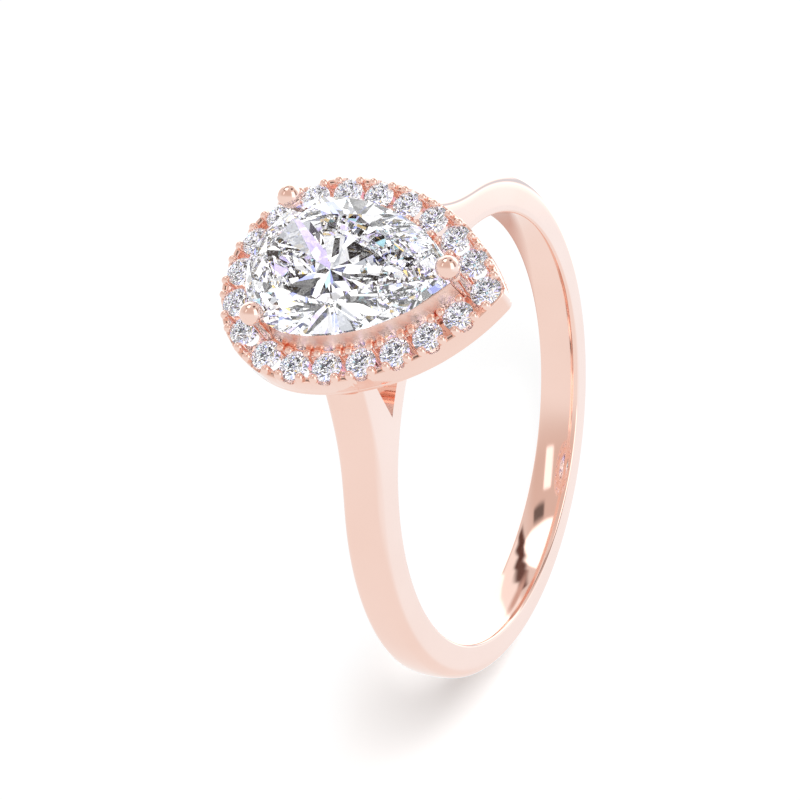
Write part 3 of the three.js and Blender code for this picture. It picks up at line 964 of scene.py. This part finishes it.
def make_world():
    """A studio all round: pale below, softboxes above with dark gaps between them, and dark red and pink
    patches that stand in for the ring's own shadow and the pink light it bounces onto itself, painted shade
    and painted reflection.

    The stones are given a livelier studio of small light, grey and dark cells, so that neighbouring
    facets differ as they do in a cut diamond. The world itself lights no floor: the key light does.
    """
    world = bpy.data.worlds.new("studio")
    world.use_nodes = True
    bpy.context.scene.world = world
    nodes, links = world.node_tree.nodes, world.node_tree.links
    direction = nodes.new("ShaderNodeTexCoord").outputs["Generated"]

    def math_node(operation, *values):
        node = nodes.new("ShaderNodeMath")
        node.operation = operation
        for socket, value in zip(node.inputs, values):
            if isinstance(value, (int, float)):
                socket.default_value = value
            else:
                links.new(value, socket)
        return node.outputs[0]

    def part_along(axis):
        node = nodes.new("ShaderNodeVectorMath")
        node.operation = "DOT_PRODUCT"
        links.new(direction, node.inputs[0])
        node.inputs[1].default_value = axis
        return node.outputs["Value"]

    def fade(value, start, end):
        """0 before start, 1 past end (or the other way round where start is the larger)."""
        node = nodes.new("ShaderNodeMapRange")
        node.interpolation_type = "SMOOTHSTEP"
        links.new(value, node.inputs["Value"])
        node.inputs["From Min"].default_value = min(start, end)
        node.inputs["From Max"].default_value = max(start, end)
        node.inputs["To Min"].default_value = 0 if start < end else 1
        node.inputs["To Max"].default_value = 1 if start < end else 0
        return node.outputs["Result"]

    def blend(share, first, second, kind="MIX"):
        node = nodes.new("ShaderNodeMix")
        node.data_type = "RGBA"
        node.blend_type = kind
        for socket, value in zip((node.inputs[0], node.inputs[6], node.inputs[7]), (share, first, second)):
            if isinstance(value, bpy.types.NodeSocket):
                links.new(value, socket)
            else:
                socket.default_value = value if isinstance(value, float) else (*value, 1)
        return node.outputs[2]

    def steps(value, stops):
        node = nodes.new("ShaderNodeValToRGB")
        node.color_ramp.interpolation = "CONSTANT"
        for _ in stops[2:]:
            node.color_ramp.elements.new(0.5)
        for element, (position, colour) in zip(node.color_ramp.elements, stops):
            element.position = position
            element.color = (*colour, 1)
        links.new(value, node.inputs[0])
        return node.outputs["Color"]

    front, right, up = studio_axes()
    degrees = 180 / math.pi
    azimuth = math_node("MULTIPLY", math_node("ARCTAN2", part_along(right), part_along(front)), degrees)
    elevation = math_node("MULTIPLY", math_node("ARCSINE", part_along(up)), degrees)
    studio = blend(fade(elevation, -10, 14), STUDIO_BELOW, STUDIO_ABOVE)
    for middle, width, middle_height, height, softness, colour in STUDIO:
        soft = softness / 2
        turn = math_node("WRAP", math_node("SUBTRACT", azimuth, middle), 180, -180)
        across = fade(math_node("ABSOLUTE", turn), width / 2 + soft, width / 2 - soft)
        climb = math_node("ABSOLUTE", math_node("SUBTRACT", elevation, middle_height))
        climb = fade(climb, height / 2 + soft, height / 2 - soft)
        studio = blend(math_node("MULTIPLY", across, climb), studio, colour)

    cells = nodes.new("ShaderNodeTexVoronoi")
    links.new(direction, cells.inputs["Vector"])
    cells.inputs["Scale"].default_value = SPARKLE_SCALE
    channels = nodes.new("ShaderNodeSeparateColor")
    links.new(cells.outputs["Color"], channels.inputs[0])
    brightness = steps(channels.outputs[0], SPARKLE_BRIGHTNESS)
    fire = steps(channels.outputs[1], SPARKLE_FIRE)
    sparkle = blend(1.0, brightness, fire, "MULTIPLY")

    path = nodes.new("ShaderNodeLightPath").outputs
    shown = blend(path["Is Transmission Ray"], studio, sparkle)
    shown = blend(path["Is Diffuse Ray"], shown, (0, 0, 0))
    shown = blend(path["Is Camera Ray"], shown, (1.05, 1.05, 1.05))
    links.new(shown, nodes["Background"].inputs["Color"])


def make_key_light(band):
    """A broad light high over the point of the pear, for the soft shadow that the band casts."""
    toward = Vector(KEY_LIGHT["toward"]).normalized()
    data = bpy.data.lights.new("key", "AREA")
    data.shape = "DISK"
    data.size = KEY_LIGHT["size"]
    data.energy = KEY_LIGHT["energy"]
    light = bpy.data.objects.new("key", data)
    light.location = toward * KEY_LIGHT["distance"]
    light.rotation_euler = toward.to_track_quat("Z", "Y").to_euler()
    light.visible_glossy = False
    light.visible_transmission = False
    light.visible_camera = False
    blockers = bpy.data.collections.new("key_blockers")
    blockers.objects.link(band)
    light.light_linking.blocker_collection = blockers
    bpy.context.scene.collection.objects.link(light)


# ---- assembly -----------------------------------------------------------------------------------
gold = rose_gold("polished_rose_gold")
halo_gold = rose_gold("halo_rose_gold", SATIN_FROM)
clear = diamond()
runs = melee_runs()
places = [on_halo_line(run, 0)[0] for run in runs]
places += [on_halo_line(-run, 0)[0] for run in runs[-2:0:-1]]
claws = claw_places()
pear_cut = pear_brilliant()
round_cut = round_brilliant()

band = make_band(gold)
make_halo(halo_gold, runs, places, claws, round_cut)
make_claws(gold, claws, pear_cut, round_cut, places)
make_rails(gold, claws, pear_cut)
centre = stone_object("centre_diamond_fine", pear_cut, (0, 0), STONE_GIRDLE_Z)
finish_piece(centre, "centre_diamond_fine", clear, "diamond", ["centre_diamond"])
for number, place in enumerate(places, 1):
    node = f"melee_diamond_{number:02d}"
    stone = stone_object(node, round_cut, place, MELEE_GIRDLE_Z)
    finish_piece(stone, node + "_fine", clear, "diamond", [node])

make_camera()
make_floor()
make_key_light(band)
make_shade_card()
make_world()
bpy.context.scene.view_settings.view_transform = "Standard"
bpy.context.scene.cycles.max_bounces = 24
bpy.context.scene.cycles.transmission_bounces = 24
bpy.context.scene.cycles.glossy_bounces = 24
